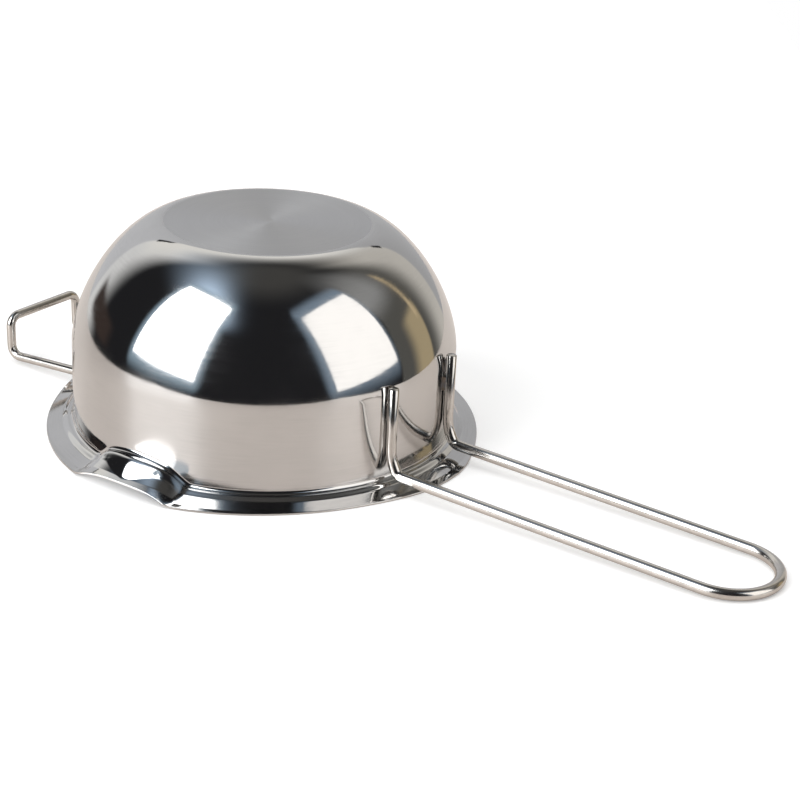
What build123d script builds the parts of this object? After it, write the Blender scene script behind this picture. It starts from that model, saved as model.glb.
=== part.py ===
from build123d import *
from math import atan2, cos, exp, hypot, radians, sin, sqrt, tan
import os

# Wax melting pot: a drawn steel bowl that stands on its rim, with a long wire handle and a wire hook.
# The rim stands on z = 0 and the bowl's axis is Z. The handle runs along +X, the hook along -X, and
# the two pouring lips face -Y and +Y. All sizes are in millimetres.

# Bowl: sheet, base, shoulder and wall
sheet = 0.8              # thickness of the drawn sheet
wall_radius = 70.0       # outside of the straight wall
bowl_height = 78.0       # rim plane to the outside of the base
base_radius = 37.5       # flat brushed base
wall_top = 33.7          # height at which the wall turns into the shoulder
shoulder_power = 1.6     # the shoulder is a quarter of a superellipse of this power
shoulder_slope = 12.0    # degrees from level where the shoulder meets the base

# Stepped and flared rim. Its edge is a circle that swells at the lips and where the wires cross it
rim_radius = 79.2        # outer edge of the flange between the swells
rim_swell = 3.2          # most that the edge may lie past that circle
lip_swell = 3.8
lip_swell_turn = 31.0    # degrees from a lip's middle at which its swell is down to a third
wire_swell = 3.6
wire_swell_turn = 18.0
rim_land = 1.2           # width of the flat ring inside that circle, on which the bowl stands
ledge_radius = 71.2      # outer edge of the narrow ledge at the wall's foot
ledge_height = 3.5
wall_foot = 5.5          # height at which the wall turns out to the ledge
step_width = 0.7         # small step from the ledge down to the flange
step_height = 1.0

# Pouring lips, pressed up out of the rim as channels with straight flanks and a slightly arched top:
# level at the wall, then a steep face, then nearly level to an edge that is straight across
lip_reach = 80.0         # from the axis to that straight edge
lip_foot_side = 22.3     # half the width of a lip where its flanks would meet the rim plane
lip_top_side = 15.5      # half the width of its top
lip_crown = 0.16         # rise of the arched top, as a share of its peak
throat_peak = 10.7       # top of a lip where it leaves the wall
foot_peak = 4.2          # top of a lip at the foot of its steep face
lip_peak = 3.7           # top of a lip at its outer edge
brow_share = 0.33        # shares of a lip's run from the wall to its edge: where the face begins,
foot_share = 0.85        # where it ends,
lip_start = -0.65        # where the pressing begins, inside the wall,
lip_past = 0.1           # and how far its solids run on past the edge, before they are cut there
cut_depth = 1.0          # how far a cutting solid runs below the rim plane

# Long handle, one bent wire
handle_wire = 4.0
handle_width = 35.6      # between the centre lines of its two rods
handle_reach = 208.7     # from the axis to the centre line of its round end
handle_leg_top = 39.5    # cut ends of the legs on the wall
handle_lean = 3.0        # the legs lean out by this from their tops to their feet
handle_foot = 5.7        # centre line where the legs turn out into the rods
handle_end_height = 2.1  # centre line at the round end, which lies on the table
handle_bend = 4.0        # bend radius at the centre line

# Rest hook, one bent wire
hook_wire = 3.3
hook_width = 36.5        # between the centre lines of its two sides
hook_reach = 109.3       # from the axis to the lower outer corners
hook_bar_reach = 111.3   # from the axis to the crossbar
hook_foot = 5.0          # centre line of the sides that run outward
hook_bar_height = 18.0   # centre line of the crossbar
hook_leg_top = 25.0      # cut ends of the legs on the wall
hook_bend = 4.0          # bend radius at the centre line

# Welds between the wires and the wall
weld_gap = 0.25          # the wires' cut ends stand off the wall by this
weld_width = 2.4
weld_length = 5.0
weld_inset = 1.5         # from the cut end of a leg to the nearest nugget
weld_pitch = 7.0         # between the two nuggets on a leg

os.makedirs("parts", exist_ok=True)


def shoulder_points(skin, count=5):
    """Points (radius, height) of the shoulder, from the wall up to the base, skin inside the outside."""
    points = []
    for step in range(count):
        turn = radians(90.0 * step / (count - 1))
        across = (wall_radius - skin - base_radius) * cos(turn) ** (2.0 / shoulder_power)
        rise = (bowl_height - skin - wall_top) * sin(turn) ** (2.0 / shoulder_power)
        points.append((base_radius + max(across, 0.0), wall_top + rise))
    return points


def under(radius, height, lean, skin):
    """The point skin below the sheet's outside, where that outside leans this far from level."""
    return (radius - skin * sin(lean), height - skin * cos(lean))


def bowl_outline(skin):
    """Half outline of the space inside the sheet's outside, or inside the surface skin below it."""
    side = wall_radius - skin
    land_start = rim_radius - rim_land
    step_foot = ledge_radius + step_width
    step_lean = atan2(step_height, step_width)
    flange_lean = atan2(ledge_height - step_height - sheet, land_start - step_foot)
    ledge = under(ledge_radius, ledge_height, step_lean / 2, skin)
    flange = under(step_foot, ledge_height - step_height, (step_lean + flange_lean) / 2, skin)
    shoulder = shoulder_points(skin)
    leaving_base = (cos(radians(shoulder_slope)), -sin(radians(shoulder_slope)))
    Line((0, 0), (0, bowl_height - skin))
    Line((0, bowl_height - skin), shoulder[-1])
    Spline(*reversed(shoulder), tangents=[leaving_base, (0, -1)])
    Line(shoulder[0], (side, wall_foot))
    TangentArc((side, wall_foot), ledge, tangent=(0, -1))
    Polyline(ledge, flange, (land_start, sheet - skin))
    Line((land_start, 0), (0, 0))


def rim_reach(turn):
    """Distance from the axis to the rim's edge, in a direction this many degrees round from +X."""
    from_wires = (turn + 90) % 180 - 90
    from_lips = turn % 180 - 90
    swell = wire_swell * exp(-((from_wires / wire_swell_turn) ** 2))
    swell += lip_swell * exp(-((from_lips / lip_swell_turn) ** 2))
    return rim_radius + min(swell, rim_swell)


def rim_disc(count=48):
    """The rim's outline: a closed curve through points evenly spaced round it, cut straight at the lips."""
    points = []
    for step in range(count):
        turn = 360.0 * step / count
        reach = rim_reach(turn)
        points.append((reach * cos(radians(turn)), reach * sin(radians(turn))))
    with BuildSketch() as disc:
        with BuildLine():
            Spline(*points, periodic=True)
        make_face()
        Rectangle(4 * rim_radius, 2 * lip_reach, mode=Mode.INTERSECT)
    return disc.sketch


def arch_section(share, peak, lean, skin, floor):
    """Closed section of a lip with its top at peak, cut off at floor. Share is 0 at the wall and 1 at
    the lip's edge, and lean is the slope of the top there. The section lies skin inside the outside."""
    shoulder = peak * (1 - lip_crown)
    flank = atan2(shoulder, lip_foot_side - lip_top_side)
    drop = skin / cos(lean)
    inset = skin / sin(flank)
    top_side = lip_foot_side - inset - (shoulder - drop) / tan(flank)
    foot_side = lip_foot_side - inset - floor / tan(flank)
    with BuildSketch(Plane.XZ.offset(wall_radius + (lip_reach - wall_radius) * share)) as arch_face:
        with BuildLine():
            ThreePointArc((-top_side, shoulder - drop), (0, peak - drop), (top_side, shoulder - drop))
            Polyline((top_side, shoulder - drop), (foot_side, floor), (-foot_side, floor),
                     (-top_side, shoulder - drop))
        make_face()
    return arch_face.sketch.face()


def pouring_lips(skin, floor, end):
    """Both lips as solids from lip_start to the share end, with their top skin below the sheet's."""
    run = lip_reach - wall_radius
    face_lean = atan2(throat_peak - foot_peak, run * (foot_share - brow_share))
    edge_lean = atan2(foot_peak - lip_peak, run * (1 - foot_share))
    end_peak = lip_peak - run * (end - 1) * tan(edge_lean)
    with BuildPart() as lips:
        arches = [
            arch_section(lip_start, throat_peak, 0.0, skin, floor),
            arch_section(brow_share, throat_peak, face_lean / 2, skin, floor),
            arch_section(foot_share, foot_peak, (face_lean + edge_lean) / 2, skin, floor),
            arch_section(end, end_peak, edge_lean, skin, floor),
        ]
        loft(arches, ruled=True)
        mirror(about=Plane.XZ)
    return lips.part


def leg_distance(wire, width):
    """Distance along X from the axis to a leg that stands on the wall at half its width."""
    return sqrt((wall_radius + weld_gap + wire / 2) ** 2 - (width / 2) ** 2)


lip_tops = pouring_lips(0.0, 0.0, 1 + lip_past)
lip_channels = pouring_lips(sheet, -cut_depth, 1 + 2 * lip_past)

with BuildPart() as lip_blanks:
    add(lip_tops)
    with BuildSketch():
        add(rim_disc())
    extrude(amount=bowl_height, mode=Mode.INTERSECT)

with BuildPart() as pot_bowl:
    with BuildSketch(Plane.XZ):
        with BuildLine():
            bowl_outline(0.0)
            Line((rim_radius - rim_land, sheet), (rim_radius - rim_land, 0))
        make_face()
    revolve(axis=Axis.Z)
    with BuildSketch():
        add(rim_disc())
    extrude(amount=sheet)
    add(lip_blanks.part)
    with BuildSketch(Plane.XZ):
        with BuildLine():
            bowl_outline(sheet)
        make_face()
    revolve(axis=Axis.Z, mode=Mode.SUBTRACT)
    add(lip_channels, mode=Mode.SUBTRACT)
pot_bowl.part.label = "pot_bowl"
export_step(pot_bowl.part, "parts/pot_bowl.step")

handle_side = handle_width / 2
handle_leg_x = leg_distance(handle_wire, handle_width)
handle_foot_x = handle_leg_x + handle_lean
handle_tilt = atan2(handle_foot - handle_end_height, handle_reach - handle_foot_x)
handle_turn_x = handle_reach - handle_side * cos(handle_tilt)
handle_turn_z = handle_end_height + handle_side * sin(handle_tilt)

with BuildPart() as long_handle:
    with BuildLine():
        FilletPolyline(
            (handle_leg_x, -handle_side, handle_leg_top),
            (handle_foot_x, -handle_side, handle_foot),
            (handle_turn_x, -handle_side, handle_turn_z),
            radius=handle_bend,
        )
        ThreePointArc(
            (handle_turn_x, -handle_side, handle_turn_z),
            (handle_reach, 0, handle_end_height),
            (handle_turn_x, handle_side, handle_turn_z),
        )
        FilletPolyline(
            (handle_turn_x, handle_side, handle_turn_z),
            (handle_foot_x, handle_side, handle_foot),
            (handle_leg_x, handle_side, handle_leg_top),
            radius=handle_bend,
        )
    leg_top = (handle_leg_x, -handle_side, handle_leg_top)
    with BuildSketch(Plane(origin=leg_top, z_dir=(handle_lean, 0, handle_foot - handle_leg_top))):
        Circle(handle_wire / 2)
    sweep()
long_handle.part.label = "long_handle"
export_step(long_handle.part, "parts/long_handle.step")

hook_side = hook_width / 2
hook_leg_x = -leg_distance(hook_wire, hook_width)

with BuildPart() as rest_hook:
    with BuildLine():
        FilletPolyline(
            (hook_leg_x, -hook_side, hook_leg_top),
            (hook_leg_x, -hook_side, hook_foot),
            (-hook_reach, -hook_side, hook_foot),
            (-hook_bar_reach, -hook_side, hook_bar_height),
            (-hook_bar_reach, hook_side, hook_bar_height),
            (-hook_reach, hook_side, hook_foot),
            (hook_leg_x, hook_side, hook_foot),
            (hook_leg_x, hook_side, hook_leg_top),
            radius=hook_bend,
        )
    with BuildSketch(Plane(origin=(hook_leg_x, -hook_side, hook_leg_top), z_dir=(0, 0, -1))):
        Circle(hook_wire / 2)
    sweep()
rest_hook.part.label = "rest_hook"
export_step(rest_hook.part, "parts/rest_hook.step")


def weld_nugget(wire, leg_x, leg_y, height):
    """Nugget between the wall and a leg of this wire, centred at this height and shaped to both."""
    depth = hypot(leg_x, leg_y) - wall_radius
    towards = Vector(leg_x, leg_y, 0).normalized()
    low = Plane(origin=(0, 0, height - weld_length / 2), x_dir=towards, z_dir=(0, 0, 1))
    with BuildPart() as nugget:
        with BuildSketch(low):
            with Locations((wall_radius + depth / 2, 0)):
                Rectangle(depth, weld_width)
            Circle(wall_radius, mode=Mode.SUBTRACT)
        extrude(amount=weld_length)
        add(wire, mode=Mode.SUBTRACT)
    return nugget.part


def weld_legs(name, wire, leg_x, side, leg_top, lean):
    """Two nuggets on each leg of a wire, numbered from the lower one at -Y. Lean is the leg's slope."""
    highest = leg_top - weld_inset - weld_length / 2
    number = 0
    for leg_y in (-side, side):
        for height in (highest - weld_pitch, highest):
            number += 1
            nugget = weld_nugget(wire, leg_x + lean * (leg_top - height), leg_y, height)
            nugget.label = f"{name}_{number}"
            export_step(nugget, f"parts/{name}_{number}.step")


handle_slope = handle_lean / (handle_leg_top - handle_foot)
weld_legs("handle_weld", long_handle.part, handle_leg_x, handle_side, handle_leg_top, handle_slope)
weld_legs("hook_weld", rest_hook.part, hook_leg_x, hook_side, hook_leg_top, 0.0)
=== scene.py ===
import math
import bpy
import numpy as np
from mathutils import Matrix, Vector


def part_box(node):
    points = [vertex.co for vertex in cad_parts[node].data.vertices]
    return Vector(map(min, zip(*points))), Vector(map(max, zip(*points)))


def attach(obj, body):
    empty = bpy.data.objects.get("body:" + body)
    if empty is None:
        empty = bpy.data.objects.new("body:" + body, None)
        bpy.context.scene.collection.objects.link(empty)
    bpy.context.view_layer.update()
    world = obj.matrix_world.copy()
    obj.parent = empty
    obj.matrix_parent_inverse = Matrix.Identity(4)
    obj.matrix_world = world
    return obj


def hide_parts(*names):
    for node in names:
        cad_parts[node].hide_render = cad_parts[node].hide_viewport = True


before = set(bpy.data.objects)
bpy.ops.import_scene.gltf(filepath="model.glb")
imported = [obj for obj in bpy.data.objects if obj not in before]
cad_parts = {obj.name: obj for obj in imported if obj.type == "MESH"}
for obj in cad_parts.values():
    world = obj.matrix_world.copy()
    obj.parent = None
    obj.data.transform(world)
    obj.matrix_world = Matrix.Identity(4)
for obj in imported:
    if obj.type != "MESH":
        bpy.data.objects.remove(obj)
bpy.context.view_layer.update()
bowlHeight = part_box("pot_bowl")[1].z
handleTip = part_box("long_handle")[1].x
hookLow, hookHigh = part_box("rest_hook")
mm = 0.001
print("frame loaded,", len(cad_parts), "nodes")


# Mesh of a grid of points, rows by columns. Columns close on themselves, and each end row is closed
# by a fan to its pole point.
def gridMesh(name, grid, startPole, endPole):
    rows, cols = grid.shape[:2]
    points = np.concatenate([grid.reshape(-1, 3), [startPole], [endPole]])
    row = np.arange(rows - 1)[:, None] * cols
    col = np.arange(cols)[None, :]
    nextCol = (col + 1) % cols
    quads = np.stack([row + col, row + nextCol, row + cols + nextCol, row + cols + col], -1).reshape(-1, 4)
    ring = np.arange(cols)
    after = (ring + 1) % cols
    last = (rows - 1) * cols
    startFan = np.stack([after, ring, np.full(cols, rows * cols)], -1)
    endFan = np.stack([last + ring, last + after, np.full(cols, rows * cols + 1)], -1)
    mesh = bpy.data.meshes.new(name)
    mesh.vertices.add(len(points))
    mesh.vertices.foreach_set("co", points.astype(np.float32).ravel())
    corners = np.concatenate([quads.ravel(), startFan.ravel(), endFan.ravel()])
    sizes = np.concatenate([np.full(len(quads), 4), np.full(2 * cols, 3)])
    mesh.loops.add(len(corners))
    mesh.loops.foreach_set("vertex_index", corners.astype(np.int32))
    mesh.polygons.add(len(sizes))
    mesh.polygons.foreach_set("loop_start", (np.cumsum(sizes) - sizes).astype(np.int32))
    mesh.update(calc_edges=True)
    mesh.validate()
    mesh.polygons.foreach_set("use_smooth", np.ones(len(sizes), bool))
    return mesh


# New object of this mesh, at the origin, with its materials.
def addPiece(name, mesh, materials):
    piece = bpy.data.objects.new(name, mesh)
    bpy.context.scene.collection.objects.link(piece)
    for material in materials:
        mesh.materials.append(material)
    return piece


# 0 below low, 1 above high, and 3t^2 - 2t^3 between them.
def smoothStep(low, high, value):
    t = np.clip((value - low) / (high - low), 0, 1)
    return t * t * (3 - 2 * t)


# New material, its node tree and its Principled shader.
def newMaterial(name):
    material = bpy.data.materials.new(name)
    material.use_nodes = True
    tree = material.node_tree
    return material, tree, tree.nodes["Principled BSDF"]


# Fixed values of a node's inputs. An underscore in a key stands for a space.
def setInputs(node, **values):
    for key, value in values.items():
        node.inputs[key.replace("_", " ")].default_value = value


# Math node: each input is a number or the socket that drives it.
def mathNode(tree, operation, *inputs):
    node = tree.nodes.new("ShaderNodeMath")
    node.operation = operation
    for place, value in enumerate(inputs):
        if isinstance(value, (int, float)):
            node.inputs[place].default_value = value
        else:
            tree.links.new(value, node.inputs[place])
    return node.outputs[0]


# Map Range node, clamped: the value's place between the from numbers becomes the same place between
# the to numbers, in a straight line or eased like smoothStep.
def rangeNode(tree, value, fromLow, fromHigh, toLow, toHigh, smooth=False):
    node = tree.nodes.new("ShaderNodeMapRange")
    node.interpolation_type = "SMOOTHSTEP" if smooth else "LINEAR"
    setInputs(node, From_Min=fromLow, From_Max=fromHigh, To_Min=toLow, To_Max=toHigh)
    tree.links.new(value, node.inputs["Value"])
    return node.outputs["Result"]


# Dot product of a vector socket with a fixed axis.
def dotNode(tree, vector, axis):
    node = tree.nodes.new("ShaderNodeVectorMath")
    node.operation = "DOT_PRODUCT"
    tree.links.new(vector, node.inputs[0])
    node.inputs[1].default_value = axis
    return node.outputs["Value"]


# Mix Color node: first where the factor's socket gives 0, and second where it gives 1. Each colour is
# a tuple or a socket.
def mixColour(tree, factor, first, second):
    node = tree.nodes.new("ShaderNodeMix")
    node.data_type = "RGBA"
    tree.links.new(factor, node.inputs[0])
    for socket, value in ((node.inputs[6], first), (node.inputs[7], second)):
        if isinstance(value, tuple):
            socket.default_value = (*value, 1)
        else:
            tree.links.new(value, socket)
    return node.outputs[2]


# Noise of this scale, detail and roughness at a vector socket's place.
def noiseNode(tree, vector, scale, detail, rough):
    node = tree.nodes.new("ShaderNodeTexNoise")
    setInputs(node, Scale=scale, Detail=detail, Roughness=rough)
    tree.links.new(vector, node.inputs["Vector"])
    return node.outputs["Fac"]


# Object place as (sine and cosine of the turn about Z, each times around, and the distance from the
# axis less the height, times across), so that a noise on it runs in rings, as a lathe or a polishing
# wheel leaves them. Also the plain place.
def turnedCoordinates(tree, around, across):
    place = tree.nodes.new("ShaderNodeTexCoord").outputs["Object"]
    split = tree.nodes.new("ShaderNodeSeparateXYZ")
    tree.links.new(place, split.inputs[0])
    x, y, z = split.outputs
    distance = mathNode(tree, "SQRT", mathNode(tree, "ADD", mathNode(tree, "MULTIPLY", x, x),
                                               mathNode(tree, "MULTIPLY", y, y)))
    turn = mathNode(tree, "ARCTAN2", y, x)
    join = tree.nodes.new("ShaderNodeCombineXYZ")
    tree.links.new(mathNode(tree, "MULTIPLY", mathNode(tree, "SINE", turn), around), join.inputs[0])
    tree.links.new(mathNode(tree, "MULTIPLY", mathNode(tree, "COSINE", turn), around), join.inputs[1])
    along = mathNode(tree, "SUBTRACT", distance, z)
    tree.links.new(mathNode(tree, "MULTIPLY", along, across), join.inputs[2])
    return join.outputs[0], place


# Bump of the shader's normal by a height socket.
def bumpInto(tree, shader, height, strength, distance):
    node = tree.nodes.new("ShaderNodeBump")
    setInputs(node, Strength=strength, Distance=distance)
    tree.links.new(height, node.inputs["Height"])
    tree.links.new(node.outputs[0], shader.inputs["Normal"])


# Tangent of the shader along the bowl's own turn, for the streaks that turning and polishing leave.
def turnedTangent(tree, shader):
    tangent = tree.nodes.new("ShaderNodeTangent")
    tangent.direction_type = "UV_MAP"
    tangent.uv_map = "turned"
    tree.links.new(tangent.outputs[0], shader.inputs["Tangent"])


steel = dict(
    colour=(0.63, 0.625, 0.62),
    worn=0.92,                   # share of that colour where the sheet is worn
    bowlRough=0.065,
    insideRough=0.24,
    roughSpan=(0.5, 2.2),        # shares of the roughness, from bright to worn
    streaks=0.6,
    streakTurn=0.25,             # lays the streaks along the rings
    rings=(5.0, 2200.0),         # noise scales round the axis and across the rings
    waves=(9.0, 260.0),
    ringShare=0.35,              # of the rings in the bump, beside the waves
    cloud=38.0,
    bump=(0.10, 0.00006),        # strength, and distance in metres
    baseDark=(0.507, 0.507, 0.513),
    basePale=(0.583, 0.583, 0.59),
    baseRough=0.36,
    baseSpan=(0.85, 1.2),
    baseStreaks=0.65,
    baseRings=(2.0, 7000.0),
    baseBands=(0.6, 900.0),
    baseShares=(0.6, 0.4),       # of the rings and the bands in the tone
    baseBump=(0.12, 0.00003),
    wireColour=(0.64, 0.615, 0.585),
    wireWorn=0.9,
    wireRough=0.17,
    wireSpan=(0.85, 1.25),
    wireMottle=420.0,
    wireCloud=70.0,
    wireBump=(0.03, 0.00002),
    weldBrown=(0.23, 0.195, 0.165),
    weldBlue=(0.20, 0.205, 0.22),
    weldRough=(0.25, 0.45),
    weldBlotch=520.0,
    weldBump=(0.5, 0.0002),
)


# Mirror-polished sheet: faint rings from the polishing wheel, soft waviness, and cloudy wear. Wear is
# the rings' noise times a cloud's, and it takes both the roughness and the tone between two values.
def polishedSteel(name, roughness):
    s = steel
    material, tree, shader = newMaterial(name)
    setInputs(shader, Metallic=1.0, Anisotropic=s["streaks"], Anisotropic_Rotation=s["streakTurn"])
    rings, place = turnedCoordinates(tree, *s["rings"])
    fine = noiseNode(tree, rings, 1.0, 3.0, 0.6)
    cloud = noiseNode(tree, place, s["cloud"], 3.0, 0.55)
    worn = mathNode(tree, "MULTIPLY", fine, rangeNode(tree, cloud, 0.35, 0.7, 0.2, 1.0))
    least, most = (roughness * share for share in s["roughSpan"])
    tree.links.new(rangeNode(tree, worn, 0.05, 0.55, least, most), shader.inputs["Roughness"])
    dull = tuple(c * s["worn"] for c in s["colour"])
    tone = mixColour(tree, rangeNode(tree, worn, 0.15, 0.55, 0.0, 1.0), s["colour"], dull)
    tree.links.new(tone, shader.inputs["Base Color"])
    turnedTangent(tree, shader)
    waves = noiseNode(tree, turnedCoordinates(tree, *s["waves"])[0], 1.0, 2.0, 0.5)
    uneven = mathNode(tree, "ADD", mathNode(tree, "MULTIPLY", fine, s["ringShare"]), waves)
    bumpInto(tree, shader, uneven, *s["bump"])
    return material


# Flat base, faced on a lathe: dense rings that spread the light across them, in duller and paler
# bands. Its tone is the rings' noise and the bands' noise, each times its share.
def brushedBase(name):
    s = steel
    material, tree, shader = newMaterial(name)
    setInputs(shader, Metallic=1.0, Anisotropic=s["baseStreaks"], Anisotropic_Rotation=s["streakTurn"])
    fine = noiseNode(tree, turnedCoordinates(tree, *s["baseRings"])[0], 1.0, 4.0, 0.7)
    bands = noiseNode(tree, turnedCoordinates(tree, *s["baseBands"])[0], 1.0, 2.0, 0.5)
    ringShare, bandShare = s["baseShares"]
    tone = mathNode(tree, "ADD", mathNode(tree, "MULTIPLY", fine, ringShare),
                    mathNode(tree, "MULTIPLY", bands, bandShare))
    least, most = (s["baseRough"] * share for share in s["baseSpan"])
    tree.links.new(rangeNode(tree, tone, 0.3, 0.7, least, most), shader.inputs["Roughness"])
    shade = mixColour(tree, rangeNode(tree, tone, 0.3, 0.7, 0.0, 1.0), s["baseDark"], s["basePale"])
    tree.links.new(shade, shader.inputs["Base Color"])
    turnedTangent(tree, shader)
    bumpInto(tree, shader, fine, *s["baseBump"])
    return material


# Drawn and tumbled wire: fine mottling and a slightly uneven shine, from one noise times a wider one.
def drawnWire(name):
    s = steel
    material, tree, shader = newMaterial(name)
    setInputs(shader, Metallic=1.0)
    place = tree.nodes.new("ShaderNodeTexCoord").outputs["Object"]
    mottle = noiseNode(tree, place, s["wireMottle"], 2.0, 0.5)
    mixed = mathNode(tree, "MULTIPLY", mottle, noiseNode(tree, place, s["wireCloud"], 2.0, 0.5))
    least, most = (s["wireRough"] * share for share in s["wireSpan"])
    tree.links.new(rangeNode(tree, mixed, 0.1, 0.45, least, most), shader.inputs["Roughness"])
    dull = tuple(c * s["wireWorn"] for c in s["wireColour"])
    tone = mixColour(tree, rangeNode(tree, mixed, 0.15, 0.4, 0.0, 1.0), s["wireColour"], dull)
    tree.links.new(tone, shader.inputs["Base Color"])
    bumpInto(tree, shader, mottle, *s["wireBump"])
    return material


# Weld nugget: duller than the wire, with a brown and blue heat tint in blotches.
def weldMetal(name):
    s = steel
    material, tree, shader = newMaterial(name)
    setInputs(shader, Metallic=1.0)
    place = tree.nodes.new("ShaderNodeTexCoord").outputs["Object"]
    blotch = noiseNode(tree, place, s["weldBlotch"], 3.0, 0.6)
    tree.links.new(rangeNode(tree, blotch, 0.3, 0.7, *s["weldRough"]), shader.inputs["Roughness"])
    tint = mixColour(tree, rangeNode(tree, blotch, 0.4, 0.6, 0.0, 1.0), s["weldBrown"], s["weldBlue"])
    tree.links.new(tint, shader.inputs["Base Color"])
    bumpInto(tree, shader, blotch, *s["weldBump"])
    return material


bowlSteel = polishedSteel("bowlSteel", steel["bowlRough"])
insideSteel = polishedSteel("insideSteel", steel["insideRough"])
baseSteel = brushedBase("baseSteel")
wireSteel = drawnWire("wireSteel")
weldSteel = weldMetal("weldSteel")
print("materials made")


bowl = dict(
    sheet=0.8 * mm,
    wallRadius=70.0 * mm,
    baseRadius=37.5 * mm,
    baseRows=(4, 12, 20, 28, 34, 36.8, 37.3),   # mm, radii of the rows on the flat base
    wallTop=33.7 * mm,
    shoulderPower=1.6,
    rimRadius=79.2 * mm,
    rimSwell=3.2 * mm,      # most that the edge lies past that circle
    lipSwell=3.8 * mm,
    lipSwellTurn=31.0,      # degrees
    wireSwell=3.6 * mm,
    wireSwellTurn=18.0,
    lipLand=1.2 * mm,       # level width that the lips' lower part has at the edge
    ledgeRadius=71.5 * mm,
    ledgeHeight=3.2 * mm,
    stepWidth=2.8 * mm,
    stepHeight=1.3 * mm,
    footRound=1.5 * mm,     # fillet between the wall and the rim
    lipReach=80.0 * mm,     # the lips' edges are straight across,
    lipLineSine=0.5,        # which counts where the sine of the turn is over this
    lipSide=20.5 * mm,      # half the width between a lip's creases
    throatPeak=10.5 * mm,
    throatRound=48.0 * mm,
    throatBlend=1.2 * mm,   # rounds the corners between the arch and its flanks
    flankSlope=0.8,
    browOut=2.9 * mm,       # where the steep face begins, out from the wall,
    browNarrow=0.22,        # and how much nearer that is for each length across
    faceFoot=8.8 * mm,      # the same for where it ends
    faceNarrow=0.50,
    faceLeast=3.4 * mm,     # least distance between the two
    noseRound=2.5 * mm,     # rounds both lines where they cross the middle
    lipRise=2.9 * mm,       # over the plain rim, at the edge
    lipSlope=0.40,
    lipEdgePower=3.2,
    lipShareMost=1.6,       # the lower arch falls no further past this share of lipSide
    lipInward=20.0 * mm,    # a lip's form is worked out to this far behind the wall's face
    farBelow=-30.0 * mm,    # height that stands for no lip
    lipBlend=0.8 * mm,      # rounds the creases between a lip and the plain rim
    insideSoft=1.4 * mm,    # the inside's shapes are blurred over this to each side
    softSteps=5,
    lipZoneTop=20.0 * mm,   # the rows below this height follow the rim
    edgeRound=0.18 * mm,
    edgeSteps=4,
    columns=460,
    lipDensity=2.6,         # how much closer the columns are at the lips
    lipSpread=0.055,        # width of that, in the sine of the turn
    shoulderRows=56,
    wallRows=5,
    lowerRows=7,
    filletRows=12,
    rimRows=52,
)


# Angles round the bowl, closer together over the two pouring lips: even steps of the sum of a density,
# which is one plus a bell shape at each lip.
def bowlTurns():
    b = bowl
    even = np.linspace(0, 2 * np.pi, 4001)
    nearLip = np.exp(-((np.abs(np.sin(even)) - 1) / b["lipSpread"]) ** 2)
    density = 1 + b["lipDensity"] * nearLip
    passed = np.concatenate([[0], np.cumsum((density[1:] + density[:-1]) / 2)])
    steps = np.linspace(0, passed[-1], b["columns"], endpoint=False)
    return np.interp(steps, passed, even)


# The larger of two heights, rounded where they cross: half of the sum plus the root of the difference
# squared plus blend squared.
def smoothMax(first, second, blend):
    return (first + second + np.sqrt((first - second) ** 2 + blend ** 2)) / 2


# Top of the plain rim: a narrow ledge, a smooth step down, and a slope to a level land of this width.
def flangeHeight(radius, land):
    b = bowl
    stepEnd = b["ledgeRadius"] + b["stepWidth"]
    landStart = b["rimRadius"] - land
    slope = np.interp(radius, [stepEnd, landStart], [b["ledgeHeight"] - b["stepHeight"], b["sheet"]])
    return slope + b["stepHeight"] * (1 - smoothStep(b["ledgeRadius"], stepEnd, radius))


# Distance from the axis to the rim's edge: a circle plus two bell-shaped swells at the lips and two
# at the wires, each e to the minus of the turn from its middle over its width squared. A straight
# line across each lip cuts it off.
def rimReach(turn):
    b = bowl
    degrees = np.degrees(turn)
    fromWires = (degrees + 90) % 180 - 90
    fromLips = degrees % 180 - 90
    swell = b["wireSwell"] * np.exp(-(fromWires / b["wireSwellTurn"]) ** 2)
    swell = swell + b["lipSwell"] * np.exp(-(fromLips / b["lipSwellTurn"]) ** 2)
    reach = b["rimRadius"] + np.minimum(swell, b["rimSwell"])
    return np.minimum(reach, b["lipReach"] / np.maximum(np.abs(np.sin(turn)), b["lipLineSine"]))


# Top of a pouring lip over the distance x across and v out from the wall. Its upper part is an arch, a
# circle across X cut off by straight flanks. Its lower part adds a flatter arch, one minus x to a
# power, to the plain rim. The steep face between them is a smooth step in v, from one blunt V in plan
# to another. Each starts from its own v in the middle, and comes nearer by its share of the root of x
# squared plus the nose's rounding squared, less that rounding.
def lipHeight(radius, turn):
    b = bowl
    x = np.abs(radius * np.cos(turn))
    v = np.abs(radius * np.sin(turn)) - b["wallRadius"]
    plain = flangeHeight(radius, b["lipLand"])
    arch = b["throatPeak"] - x ** 2 / (2 * b["throatRound"])
    flank = plain + b["flankSlope"] * (b["lipSide"] - x)
    upper = -smoothMax(-arch, -flank, b["throatBlend"])
    share = np.minimum(x / b["lipSide"], b["lipShareMost"])
    rise = b["lipRise"] + b["lipSlope"] * (b["lipReach"] - b["wallRadius"] - v)
    lower = plain + rise * (1 - share ** b["lipEdgePower"])
    blunt = np.sqrt(x ** 2 + b["noseRound"] ** 2) - b["noseRound"]
    brow = b["browOut"] - b["browNarrow"] * blunt
    foot = np.maximum(b["faceFoot"] - b["faceNarrow"] * blunt, brow + b["faceLeast"])
    height = lower + (upper - lower) * (1 - smoothStep(brow, foot, v))
    return np.where(v > -b["lipInward"], height, b["farBelow"])


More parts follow.
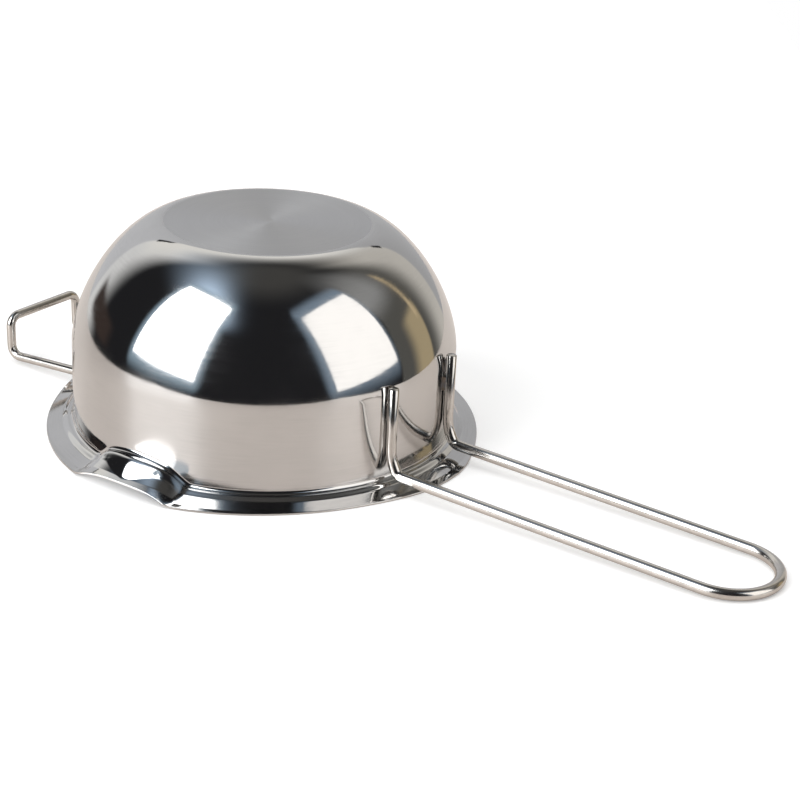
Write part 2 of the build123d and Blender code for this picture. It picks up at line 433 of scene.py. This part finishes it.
# Top of the whole rim: the higher of the two, averaged over radii up to soft to each side.
def rimTop(radius, turn, soft):
    heights = []
    for shift in np.linspace(-soft, soft, bowl["softSteps"]):
        plain = flangeHeight(radius + shift, 0.0)
        heights.append(smoothMax(plain, lipHeight(radius + shift, turn), bowl["lipBlend"]))
    return np.mean(heights, axis=0)


# Outside of the sheet, rows from the base to the rim's edge by columns round the bowl: the base is
# level, the shoulder is a quarter superellipse, the wall is straight down to a fillet, and the rim is
# rimTop over the radius.
def sheetRows(turns, soft):
    b = bowl
    turn = turns[None, :]
    edgeRadius = rimReach(turn)
    fillet = np.full(turn.shape, b["footRound"])

    baseR = np.array(b["baseRows"]) * mm
    baseZ = np.full(len(baseR), bowlHeight)
    angle = np.linspace(np.pi / 2, 0, b["shoulderRows"])
    power = 2 / b["shoulderPower"]
    shoulderR = b["baseRadius"] + (b["wallRadius"] - b["baseRadius"]) * np.clip(np.cos(angle), 0, 1) ** power
    shoulderZ = b["wallTop"] + (bowlHeight - b["wallTop"]) * np.clip(np.sin(angle), 0, 1) ** power
    wallZ = np.linspace(b["wallTop"], b["lipZoneTop"], b["wallRows"])[1:]
    plainR = np.concatenate([baseR, shoulderR, np.full(len(wallZ), b["wallRadius"])])
    plainZ = np.concatenate([baseZ, shoulderZ, wallZ])
    plainR = np.repeat(plainR[:, None], turn.shape[1], 1)
    plainZ = np.repeat(plainZ[:, None], turn.shape[1], 1)

    floorAtWall = rimTop(b["wallRadius"], turn, soft)
    down = np.linspace(0, 1, b["lowerRows"])[1:, None]
    lowerZ = b["lipZoneTop"] + (floorAtWall + fillet - b["lipZoneTop"]) * down
    lowerR = np.full(lowerZ.shape, b["wallRadius"])

    bend = np.linspace(0, np.pi / 2, b["filletRows"])[1:, None]
    filletR = b["wallRadius"] + fillet * (1 - np.cos(bend))
    filletZ = rimTop(filletR, turn, soft) + fillet * (1 - np.sin(bend))

    out = np.linspace(0, 1, b["rimRows"])[1:, None]
    start = b["wallRadius"] + fillet
    outR = start + (edgeRadius - b["edgeRound"] - start) * out
    outZ = rimTop(outR, turn, soft)

    radius = np.concatenate([plainR, lowerR, filletR, outR])
    height = np.concatenate([plainZ, lowerZ, filletZ, outZ])
    return np.stack([radius * np.cos(turn), radius * np.sin(turn), height], -1), edgeRadius[0]


# Outward unit normals of a grid that closes on itself along its columns: the cross product of the
# steps along rows and along columns.
def gridNormals(grid):
    alongRows = np.gradient(grid, axis=0)
    alongCols = (np.roll(grid, -1, 1) - np.roll(grid, 1, 1)) / 2
    normal = np.cross(alongRows, alongCols)
    return normal / np.linalg.norm(normal, axis=-1, keepdims=True)


# Closed sheet: its outside, the rounded cut edge of the rim, and its inside, which is a softened
# outside moved in by the sheet's thickness along its normal. Also the columns' turns, and the row
# where the inside begins.
def bowlSurface():
    b = bowl
    turns = bowlTurns()
    outside, edgeRadius = sheetRows(turns, 0.0)
    soft, _ = sheetRows(turns, b["insideSoft"])
    soft = soft[::2]
    inside = soft - gridNormals(soft) * b["sheet"]
    inside[..., 2] = np.maximum(inside[..., 2], 0)
    around = np.stack([np.cos(turns), np.sin(turns)], -1)
    topZ = outside[-1, :, 2]
    bottomZ = topZ - b["sheet"]
    corner = b["edgeRound"]
    edge = []
    steps = np.linspace(0, np.pi / 2, b["edgeSteps"])
    for step in steps[1:]:
        edge.append((edgeRadius - corner + corner * np.sin(step), topZ - corner + corner * np.cos(step)))
    for step in steps:
        edge.append((edgeRadius - corner + corner * np.cos(step), bottomZ + corner - corner * np.sin(step)))
    edgeRows = [np.concatenate([around * r[:, None], z[:, None]], -1) for r, z in edge]
    inside[-1, :, :2] = around * (edgeRadius - 3 * corner)[:, None]
    inside[-1, :, 2] = bottomZ
    grid = np.concatenate([outside, np.stack(edgeRows), inside[::-1]])
    grid[..., 2] = np.clip(grid[..., 2], 0, bowlHeight)
    return grid, turns, len(outside) + len(edgeRows)


# Bowl. Its faces take the polished outside, the faced base or the softer inside by their rows. In its
# UV map U is the column's share of a full turn and V the row's share of the rows. Where a face of the
# last column reaches the first one, U is 1.
def makeBowl():
    grid, turns, insideRow = bowlSurface()
    rows, cols = grid.shape[:2]
    mesh = gridMesh("potBowl", grid, (0, 0, bowlHeight), (0, 0, bowlHeight - bowl["sheet"]))
    piece = addPiece("potBowl", mesh, [bowlSteel, baseSteel, insideSteel])
    outsideSlot, baseSlot, insideSlot = range(3)
    faceRow = np.arange(len(mesh.polygons)) // cols
    slots = np.where(faceRow >= insideRow, insideSlot, outsideSlot)
    slots = np.where(faceRow < len(bowl["baseRows"]) - 1, baseSlot, slots)
    slots[(rows - 1) * cols:rows * cols] = baseSlot
    slots[rows * cols:] = insideSlot
    mesh.polygons.foreach_set("material_index", slots.astype(np.int32))
    uv = mesh.uv_layers.new(name="turned")
    corner = np.zeros(len(mesh.loops), np.int32)
    mesh.loops.foreach_get("vertex_index", corner)
    columnOf = np.minimum(corner, rows * cols - 1) % cols
    rowOf = np.minimum(corner // cols, rows)
    around = turns[columnOf] / (2 * np.pi)
    loopStart = np.zeros(len(mesh.polygons), np.int32)
    loopTotal = np.zeros(len(mesh.polygons), np.int32)
    mesh.polygons.foreach_get("loop_start", loopStart)
    mesh.polygons.foreach_get("loop_total", loopTotal)
    lastColumn = np.repeat(np.maximum.reduceat(columnOf, loopStart), loopTotal) == cols - 1
    around = np.where(lastColumn & (columnOf == 0), 1.0, around)
    uv.data.foreach_set("uv", np.stack([around, rowOf / rows], -1).astype(np.float32).ravel())
    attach(piece, "root")
    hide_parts("pot_bowl")


makeBowl()
print("bowl made")


weldGap = 0.12 * mm         # the wires stand off the wall by this
routeStep = 0.4 * mm        # spacing of the points in a bend
endChamfer = 0.25 * mm      # broken corner of a wire's cut end


# Points along straight runs joined by tangent arcs of the given bend radii.
def roundedRoute(corners, bends):
    corners = np.array(corners, float)
    pieces = [corners[:1]]
    for before, at, after, radius in zip(corners[:-2], corners[1:-1], corners[2:], bends):
        inward = (at - before) / np.linalg.norm(at - before)
        outward = (after - at) / np.linalg.norm(after - at)
        turn = np.arccos(np.clip(inward @ outward, -1, 1))
        back = radius * np.tan(turn / 2)
        start = at - inward * back
        side = outward - inward * np.cos(turn)
        side /= np.linalg.norm(side)
        angle = np.linspace(0, turn, max(int(turn * radius / routeStep), 10))[:, None]
        pieces.append(start + inward * radius * np.sin(angle) + side * radius * (1 - np.cos(angle)))
    pieces.append(corners[-1:])
    return np.concatenate(pieces)


# Round wire along a route: circles square to it, turned from one fixed direction, with cut ends whose
# corners are broken. The radius is one number, or one for each point.
def wireMesh(name, route, radius, sides):
    step = np.linalg.norm(np.diff(route, axis=0), axis=1)
    kept = np.concatenate([[True], step > 1e-7])
    route = route[kept]
    radius = np.broadcast_to(radius, kept.shape)[kept]
    direction = np.gradient(route, axis=0)
    direction /= np.linalg.norm(direction, axis=1, keepdims=True)
    start = route[0] + direction[0] * endChamfer
    end = route[-1] - direction[-1] * endChamfer
    route = np.concatenate([[route[0], start], route[1:-1], [end, route[-1]]])
    first, final = direction[:1], direction[-1:]
    direction = np.concatenate([first, first, direction[1:-1], final, final])
    size = np.concatenate([radius[:1], radius[:1], radius[1:-1], radius[-1:], radius[-1:]])
    size[[0, -1]] -= endChamfer
    across = np.cross(direction, (1, 1, 1))
    across /= np.linalg.norm(across, axis=1, keepdims=True)
    up = np.cross(direction, across)
    angle = np.linspace(0, 2 * np.pi, sides, endpoint=False)[None, :, None]
    circle = across[:, None] * np.cos(angle) + up[:, None] * np.sin(angle)
    grid = route[:, None] + circle * size[:, None, None]
    return gridMesh(name, grid[:, ::-1], route[0], route[-1])


# Distance along X of a leg that stands on the wall at half its width: the wire's distance from the
# axis squared less half the width squared, rooted.
def legDistance(wire, width):
    return math.sqrt((bowl["wallRadius"] + weldGap + wire / 2) ** 2 - (width / 2) ** 2)


handle = dict(
    wire=4.0 * mm,
    width=35.6 * mm,
    nearTop=37.8 * mm,      # the two cut ends differ a little
    farTop=39.5 * mm,
    legWire=3.7 * mm,       # the legs are pressed thinner for their welds
    flareStart=12.0 * mm,   # where a leg would turn outwards if its bend weren't rounded
    flareBend=16.0 * mm,
    foot=5.7 * mm,
    lean=3.0 * mm,
    endHeight=2.1 * mm,
    bend=4.0 * mm,
    rodRows=60,
    endRows=61,
    sides=36,
)


# Legs down the wall that flare at the foot, two rods that fall slightly outwards, and a half circle
# between them.
def makeHandle():
    h = handle
    side = h["width"] / 2
    legX = legDistance(h["legWire"], h["width"])
    footX = legDistance(h["wire"], h["width"]) + h["lean"]
    reach = handleTip - h["wire"] / 2
    tilt = math.atan2(h["foot"] - h["endHeight"], reach - footX)
    turnX = reach - side * math.cos(tilt)
    turnZ = h["endHeight"] + side * math.sin(tilt)
    corners = [(legX, -side, h["farTop"]), (legX, -side, h["flareStart"]), (footX, -side, h["foot"]),
               (turnX, -side, turnZ)]
    half = roundedRoute(corners, [h["flareBend"], h["bend"]])
    rods = np.linspace(half[-2], half[-1], h["rodRows"])[1:]
    angle = np.linspace(0, np.pi, h["endRows"])[1:-1, None]
    forward = np.array([math.cos(tilt), 0, -math.sin(tilt)])
    middle = np.array([turnX, 0, turnZ])
    arc = middle + forward * side * np.sin(angle) - np.array([0, side, 0]) * np.cos(angle)
    near = np.concatenate([half[:-1], rods])
    far = (near * (1, -1, 1))[::-1]
    near[0, 2] = h["nearTop"]
    route = np.concatenate([near, arc, far])
    pressed = smoothStep(h["foot"], h["flareStart"] + h["wire"], route[:, 2])
    size = (h["wire"] + (h["legWire"] - h["wire"]) * pressed) / 2
    piece = addPiece("longHandle", wireMesh("longHandle", route, size, h["sides"]), [wireSteel])
    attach(piece, "root")
    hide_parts("long_handle")


hook = dict(
    wire=3.45 * mm,
    width=36.5 * mm,
    reach=110.8 * mm,
    foot=5.0 * mm,
    footOut=2.4 * mm,       # the sides fall a little to the outer corners
    barHeight=18.0 * mm,
    bend=4.0 * mm,
    sides=32,
)


# Legs down the wall, sides out and a little down, turned up and joined by a crossbar.
def makeHook():
    h = hook
    side = h["width"] / 2
    legX = -legDistance(h["wire"], h["width"])
    barX = hookLow.x + h["wire"] / 2
    corners = [
        (legX, -side, hookHigh.z), (legX, -side, h["foot"]), (-h["reach"], -side, h["footOut"]),
        (barX, -side, h["barHeight"]), (barX, side, h["barHeight"]),
        (-h["reach"], side, h["footOut"]), (legX, side, h["foot"]), (legX, side, hookHigh.z),
    ]
    route = roundedRoute(corners, [h["bend"]] * 6)
    piece = addPiece("restHook", wireMesh("restHook", route, h["wire"] / 2, h["sides"]), [wireSteel])
    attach(piece, "root")
    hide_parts("rest_hook")


makeHandle()
makeHook()
for name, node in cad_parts.items():
    if "weld" in name:
        node.data.materials.clear()
        node.data.materials.append(weldSteel)
print("wires made")


camera = dict(
    turn=33.63,            # degrees round from the front
    rise=23.09,
    distance=770.4 * mm,
    aimRight=50.42 * mm,   # the aim lies this far to the camera's right of the axis
    aimHeight=10.93 * mm,
    roll=2.86,
    lens=93.6,
    sensor=36,
    nearest=0.01,
)


# Level right, right, up and forward of the camera. Only the middle two have its roll.
def viewAxes():
    turn, rise, roll = (math.radians(camera[key]) for key in ("turn", "rise", "roll"))
    right = np.array([math.cos(turn), math.sin(turn), 0])
    forward = np.array([-math.sin(turn) * math.cos(rise), math.cos(turn) * math.cos(rise), -math.sin(rise)])
    up = np.cross(right, forward)
    rolledRight = math.cos(roll) * right + math.sin(roll) * up
    rolledUp = math.cos(roll) * up - math.sin(roll) * right
    return right, rolledRight, rolledUp, forward


# Camera that looks at its aim from this distance.
def makeCamera():
    level, right, up, forward = viewAxes()
    aim = level * camera["aimRight"] + np.array([0, 0, camera["aimHeight"]])
    place = aim - forward * camera["distance"]
    data = bpy.data.cameras.new("camera")
    data.lens = camera["lens"]
    data.sensor_width = camera["sensor"]
    data.clip_start = camera["nearest"]
    item = bpy.data.objects.new("camera", data)
    item.matrix_world = Matrix((
        (right[0], up[0], -forward[0], place[0]),
        (right[1], up[1], -forward[1], place[1]),
        (right[2], up[2], -forward[2], place[2]),
        (0, 0, 0, 1),
    ))
    bpy.context.scene.collection.objects.link(item)
    bpy.context.scene.camera = item


table = dict(
    front=300 * mm,         # from the axis to each edge, square to the view
    back=2400 * mm,
    left=450 * mm,
    right=300 * mm,
    drop=0.05 * mm,         # below the rim plane
    rough=0.42,
    gloss=0.75,
    colour=(0.71, 0.64, 0.59),    # as the steel sees it
    shown=(0.80, 0.80, 0.80),     # as the camera sees it, with the lift added
    lift=0.27,
    spotEdge=0.3 * mm,            # the spots lie before the lip, and show in the wall only
    # painted glint: a disc of the table glows for rays other than the camera's, though no lamp is there
    paintedGlint=dict(centre=(-6.3 * mm, -90 * mm), radius=15.6 * mm, light=0.9),
    # painted shade: a blue-grey disc beside it, in the colour that only the steel sees
    shade=dict(centre=(11 * mm, -87 * mm), radius=7.0 * mm, colour=(0.22, 0.27, 0.32)),
)


# Pale table: its front and sides end a little way from the bowl, square to the view.
def makeTable():
    t = table
    level = viewAxes()[0]
    back = np.array([-level[1], level[0], 0])
    drop = np.array([0, 0, -t["drop"]])
    spans = ((-t["left"], -t["front"]), (t["right"], -t["front"]),
             (t["right"], t["back"]), (-t["left"], t["back"]))
    corners = [level * across + back * along + drop for across, along in spans]
    mesh = bpy.data.meshes.new("table")
    mesh.from_pydata([tuple(c) for c in corners], [], [(0, 1, 2, 3)])
    material, tree, shader = newMaterial("tablePaper")
    setInputs(shader, Roughness=t["rough"], Specular_IOR_Level=t["gloss"])
    lift = tree.nodes.new("ShaderNodeEmission")
    seen = tree.nodes.new("ShaderNodeLightPath").outputs["Is Camera Ray"]
    place = tree.nodes.new("ShaderNodeTexCoord").outputs["Object"]

    # 1 inside a disc on the table and 0 outside it.
    def disc(spot):
        offset = tree.nodes.new("ShaderNodeVectorMath")
        offset.operation = "DISTANCE"
        tree.links.new(place, offset.inputs[0])
        offset.inputs[1].default_value = (*spot["centre"], drop[2])
        inner, outer = spot["radius"] - t["spotEdge"], spot["radius"] + t["spotEdge"]
        return rangeNode(tree, offset.outputs["Value"], inner, outer, 1, 0)

    # Painted shade: the blue-grey disc, only in the colour that the steel sees.
    shaded = mixColour(tree, disc(t["shade"]), t["colour"], t["shade"]["colour"])
    tree.links.new(mixColour(tree, seen, shaded, t["shown"]), shader.inputs["Base Color"])
    # Painted light: the glint disc glows, only for rays other than the camera's.
    paintedGlint = mathNode(tree, "MULTIPLY", disc(t["paintedGlint"]), t["paintedGlint"]["light"])
    hidden = mathNode(tree, "SUBTRACT", 1.0, seen)
    lifted = mathNode(tree, "ADD", mathNode(tree, "MULTIPLY", seen, t["lift"]),
                      mathNode(tree, "MULTIPLY", hidden, paintedGlint))
    tree.links.new(lifted, lift.inputs["Strength"])
    both = tree.nodes.new("ShaderNodeAddShader")
    tree.links.new(shader.outputs[0], both.inputs[0])
    tree.links.new(lift.outputs[0], both.inputs[1])
    tree.links.new(both.outputs[0], tree.nodes["Material Output"].inputs["Surface"])
    addPiece("table", mesh, [material])


# Each box faces (turn, rise) in degrees. Its middle, half sides and haze are measured on a plane one
# unit away. The steel mirrors its shine, and matt surfaces take its light.
softBoxes = [
    dict(turn=257.5, rise=8.0, centre=(-0.20, 0.589), half=(0.415, 0.590), roll=-5.2, light=(2.0, 2.0, 2.0),
         shine=(5.0, 5.0, 5.0), haze=(0.12, 0.25), hazeLean=(0.0, 0.0),
         hazeColour=(0.36, 0.48, 0.58)),
    dict(turn=0.0, rise=7.0, centre=(0.146, 0.502), half=(0.412, 0.572), roll=8.4, light=(2.0, 2.0, 2.0),
         shine=(1.58, 1.54, 1.49), haze=(0.11, 0.36), hazeLean=(-0.035, 0.09),
         hazeColour=(0.25, 0.32, 0.40)),
]
boxEdge = 0.006             # soft edge of a box, to each side
boxFront = (0.02, 0.1)      # a box fades where directions leave its front
boxGlow = dict(turn=114.6, start=-0.345, length=0.31, middle=-0.44, half=0.18, rise=(38, 50),
               colour=(0.90, 1.15, 1.45))


# Glow that trails off over the first box: e to the minus of the distance along over its length, times e
# to the minus of the distance across, over its half width, squared.
def glowMask(tree, direction, rise):
    g = boxGlow
    turn = math.radians(g["turn"])
    along = dotNode(tree, direction, (math.cos(turn), math.sin(turn), 0))
    across = dotNode(tree, direction, (math.sin(turn), -math.cos(turn), 0))
    fall = mathNode(tree, "DIVIDE", mathNode(tree, "SUBTRACT", g["start"], along), g["length"])
    off = mathNode(tree, "DIVIDE", mathNode(tree, "SUBTRACT", across, g["middle"]), g["half"])
    power = mathNode(tree, "SUBTRACT", fall, mathNode(tree, "MULTIPLY", off, off))
    strength = mathNode(tree, "MINIMUM", mathNode(tree, "EXPONENT", power), 1.0)
    return mathNode(tree, "MULTIPLY", strength, rangeNode(tree, rise, *g["rise"], 0, 1, True))


# Two masks of a flat rectangle seen from the bowl: 1 inside it, and 1 at it that fades out over its
# haze. The direction is projected on a plane that faces (turn, rise), turned to the rectangle's own
# axes, and measured from its middle against its half sides.
def softBoxMasks(tree, direction, box):
    turn, rise, roll = (math.radians(box[key]) for key in ("turn", "rise", "roll"))
    facing = np.array([math.cos(turn) * math.cos(rise), math.sin(turn) * math.cos(rise), math.sin(rise)])
    side = np.array([-math.sin(turn), math.cos(turn), 0])
    up = np.cross(facing, side)
    ahead = mathNode(tree, "MAXIMUM", dotNode(tree, direction, facing), boxFront[0])
    axes = (side * math.cos(roll) + up * math.sin(roll), up * math.cos(roll) - side * math.sin(roll))
    centre = np.array(box["centre"])
    shift = (centre[0] * math.cos(roll) + centre[1] * math.sin(roll),
             centre[1] * math.cos(roll) - centre[0] * math.sin(roll))

    # How far a direction lies outside the middle plus or minus half, along one of the axes.
    def outside(axis, middle, half):
        along = mathNode(tree, "DIVIDE", dotNode(tree, direction, axis), ahead)
        off = mathNode(tree, "ABSOLUTE", mathNode(tree, "SUBTRACT", along, middle))
        return mathNode(tree, "SUBTRACT", off, half)

    beyond = [outside(*each) for each in zip(axes, shift, box["half"])]
    leaning = [outside(*each) for each in zip(axes, shift + np.array(box["hazeLean"]), box["half"])]
    front = rangeNode(tree, dotNode(tree, direction, facing), *boxFront, 0, 1)
    inside = mathNode(tree, "MULTIPLY", rangeNode(tree, beyond[0], -boxEdge, boxEdge, 1, 0, True),
                      rangeNode(tree, beyond[1], -boxEdge, boxEdge, 1, 0, True))
    sideGap = mathNode(tree, "DIVIDE", mathNode(tree, "MAXIMUM", leaning[0], 0.0), box["haze"][0])
    upGap = mathNode(tree, "DIVIDE", mathNode(tree, "MAXIMUM", leaning[1], 0.0), box["haze"][1])
    gap = mathNode(tree, "SQRT", mathNode(tree, "ADD", mathNode(tree, "MULTIPLY", sideGap, sideGap),
                                          mathNode(tree, "MULTIPLY", upGap, upGap)))
    near = mathNode(tree, "MULTIPLY", rangeNode(tree, gap, 0.0, 1.0, 1, 0, True), front)
    return mathNode(tree, "MULTIPLY", inside, front), near


# Edges are those of a patch: turn from and to, and rise from and to. Each is a pair of degrees where it
# begins and where it ends.
studio = dict(
    darkness=(0.019, 0.019, 0.021),
    ceiling=(0.072, 0.070, 0.066),
    ceilingRise=(58, 82),
    overhead=(1.9, 1.9, 1.9),        # light from above that only matt surfaces take
    overheadRise=(50, 70),
    room=(
        dict(edges=((33, 36), (80, 90), (-14, -9), (46, 72)), colour=(0.115, 0.112, 0.102)),
        dict(edges=((2, 36), (46, 68), (24, 39), (38, 80)), colour=(0.36, 0.36, 0.355)),
        dict(edges=((43, 54), (63.5, 66), (-14, -9), (15, 20)), colour=(0.50, 0.405, 0.25)),
        dict(edges=((60.2, 61), (62.8, 63.6), (10, 14), (38, 46)), colour=(0.66, 0.52, 0.32)),
    ),
    wall=((66, 84), (170, 190), (-30, -20), (42, 72)),
    wallRight=(0.65, 0.62, 0.565),
    wallLeft=(0.88, 0.88, 0.87),
    wallTurn=(90, 160),              # from its right colour to its left one
    high=dict(edges=((95, 120), (155, 185), (20, 34), (42, 58)), colour=(1.0, 0.98, 0.93)),
    doorway=dict(edges=((168, 175), (196, 206), (-3, 0), (6, 10)), colour=(0.055, 0.040, 0.035)),
    paperRight=(0.465, 0.465, 0.47),
    paperLeft=(0.68, 0.685, 0.705),
    paperTurn=(95, 160),
    paperMiddle=127.5,
    paperHalf=37.5,
    paperTop=36.0,
    paperTopEdge=0.5,
    paperCorner=41.0,                # how high its outline would reach with no straight top
    paperPower=2.5,
    paperEdge=(0.95, 1.05),
    clips=((30.4, 36.6, 140, 170), (28.4, 33.2, 85, 115)),   # rise from and to, and turn from and to
    clipFade=(0.5, 1),               # degrees over which a clip's rise and turn fade
    clipReach=((0.91, 0.94), (1.06, 1.09)),
)


# Dark room with two soft boxes before the bowl, and a pale wall with a hung sheet of grey paper behind
# it. Matt surfaces also get light from above. The camera itself sees plain white.
def makeStudio():
    s = studio
    world = bpy.data.worlds.new("studio")
    bpy.context.scene.world = world
    world.use_nodes = True
    tree = world.node_tree
    direction = tree.nodes.new("ShaderNodeTexCoord").outputs["Generated"]
    split = tree.nodes.new("ShaderNodeSeparateXYZ")
    tree.links.new(direction, split.inputs[0])
    x, y, z = split.outputs
    turn = mathNode(tree, "MULTIPLY", mathNode(tree, "ARCTAN2", y, x), 180 / math.pi)
    turn = mathNode(tree, "MODULO", mathNode(tree, "ADD", turn, 360.0), 360.0)
    rise = mathNode(tree, "MULTIPLY", mathNode(tree, "ARCSINE", z), 180 / math.pi)

    # Soft-edged patch: the product of four smooth steps, one for each edge.
    def patch(turnLow, turnHigh, riseLow, riseHigh):
        value = mathNode(tree, "MULTIPLY", rangeNode(tree, turn, *turnLow, 0, 1, True),
                         rangeNode(tree, turn, *turnHigh, 1, 0, True))
        value = mathNode(tree, "MULTIPLY", value, rangeNode(tree, rise, *riseLow, 0, 1, True))
        return mathNode(tree, "MULTIPLY", value, rangeNode(tree, rise, *riseHigh, 1, 0, True))

    # The colour with one patch painted over it.
    def paint(under, spot):
        return mixColour(tree, patch(*spot["edges"]), under, spot["colour"])

    overRoom = rangeNode(tree, rise, *s["ceilingRise"], 0, 1, True)
    colour = mixColour(tree, overRoom, s["darkness"], s["ceiling"])
    for spot in s["room"]:
        colour = paint(colour, spot)
    wall = mixColour(tree, rangeNode(tree, turn, *s["wallTurn"], 0, 1), s["wallRight"], s["wallLeft"])
    colour = mixColour(tree, patch(*s["wall"]), colour, paint(wall, s["high"]))

    # The paper hangs before that wall. Its outline is a superellipse cut off level at its top: the turn
    # from its middle over half its width and the rise over its height, each to a power, add up to one.
    fromMiddle = mathNode(tree, "ABSOLUTE", mathNode(tree, "SUBTRACT", turn, s["paperMiddle"]))
    turnShare = mathNode(tree, "DIVIDE", fromMiddle, s["paperHalf"])
    riseShare = mathNode(tree, "DIVIDE", mathNode(tree, "MAXIMUM", rise, 0.0), s["paperCorner"])
    reach = mathNode(tree, "ADD", mathNode(tree, "POWER", turnShare, s["paperPower"]),
                     mathNode(tree, "POWER", riseShare, s["paperPower"]))
    paper = mixColour(tree, rangeNode(tree, turn, *s["paperTurn"], 0, 1), s["paperRight"], s["paperLeft"])
    topLow, topHigh = s["paperTop"] - s["paperTopEdge"], s["paperTop"] + s["paperTopEdge"]
    onPaper = mathNode(tree, "MULTIPLY", rangeNode(tree, reach, *s["paperEdge"], 1, 0),
                       rangeNode(tree, rise, topLow, topHigh, 1, 0))
    colour = mixColour(tree, onPaper, colour, paper)
    riseFade, turnFade = s["clipFade"]
    for riseLow, riseHigh, turnLow, turnHigh in s["clips"]:
        clip = patch((turnLow, turnLow + turnFade), (turnHigh - turnFade, turnHigh),
                     (riseLow, riseLow + riseFade), (riseHigh - riseFade, riseHigh))
        clip = mathNode(tree, "MULTIPLY", clip, rangeNode(tree, reach, *s["clipReach"][0], 0, 1))
        clip = mathNode(tree, "MULTIPLY", clip, rangeNode(tree, reach, *s["clipReach"][1], 1, 0))
        colour = mixColour(tree, clip, colour, s["darkness"])
    colour = paint(colour, s["doorway"])
    colour = mixColour(tree, glowMask(tree, direction, rise), colour, boxGlow["colour"])
    path = tree.nodes.new("ShaderNodeLightPath").outputs
    above = rangeNode(tree, rise, *s["overheadRise"], 0, 1, True)
    above = mathNode(tree, "MULTIPLY", above, path["Is Diffuse Ray"])
    colour = mixColour(tree, above, colour, s["overhead"])
    for box in softBoxes:
        inside, near = softBoxMasks(tree, direction, box)
        colour = mixColour(tree, near, colour, box["hazeColour"])
        lit = mixColour(tree, path["Is Diffuse Ray"], box["shine"], box["light"])
        colour = mixColour(tree, inside, colour, lit)
    colour = mixColour(tree, path["Is Camera Ray"], colour, (1.0, 1.0, 1.0))
    tree.links.new(colour, tree.nodes["Background"].inputs["Color"])


makeCamera()
makeTable()
makeStudio()
bpy.context.scene.view_settings.view_transform = "Standard"
print("studio made")
